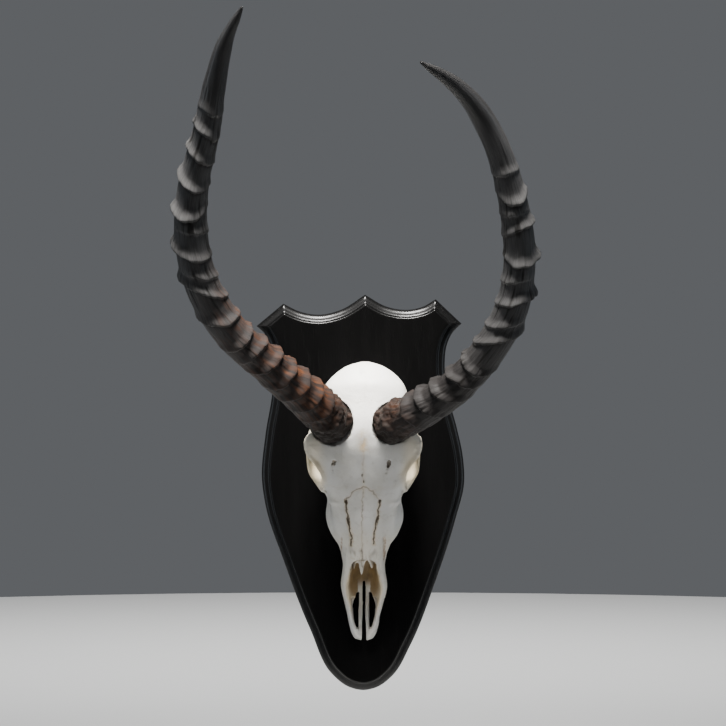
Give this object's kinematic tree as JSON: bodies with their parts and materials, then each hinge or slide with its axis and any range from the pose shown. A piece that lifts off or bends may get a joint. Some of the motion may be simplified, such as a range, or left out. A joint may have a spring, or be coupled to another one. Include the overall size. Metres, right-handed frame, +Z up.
{
  "type": "mounted impala skull",
  "caption": "Antelope ram's skull with long ringed lyre-shaped horns, fixed face outwards on a black shield-shaped wooden wall board with a moulded edge.",
  "frame": {"origin": "centre of the board's flat back face, half way across the board and about 198 mm above its lowest point", "axes": "+Z up the board, towards the horn tips; the face looks along -Y and +Y points into the wall; +X is the viewer's right when facing the skull"},
  "size_m": [0.3374, 0.357, 0.6339],
  "materials": {
    "wood": "satin",
    "bone": "matte",
    "horn": "satin",
    "tooth": "satin",
    "steel": "satin"
  },
  "bodies": {
    "root": {"board": "wood", "skull": "bone", "horn_left": "horn", "horn_right": "horn", "premolar_2_left": "tooth", "premolar_2_right": "tooth", "premolar_3_left": "tooth", "premolar_3_right": "tooth", "premolar_4_left": "tooth", "premolar_4_right": "tooth", "molar_1_left": "tooth", "molar_1_right": "tooth", "molar_2_left": "tooth", "molar_2_right": "tooth", "molar_3_left": "tooth", "molar_3_right": "tooth", "screw_upper": "steel", "screw_lower": "steel"}
  },
  "joints": []
}
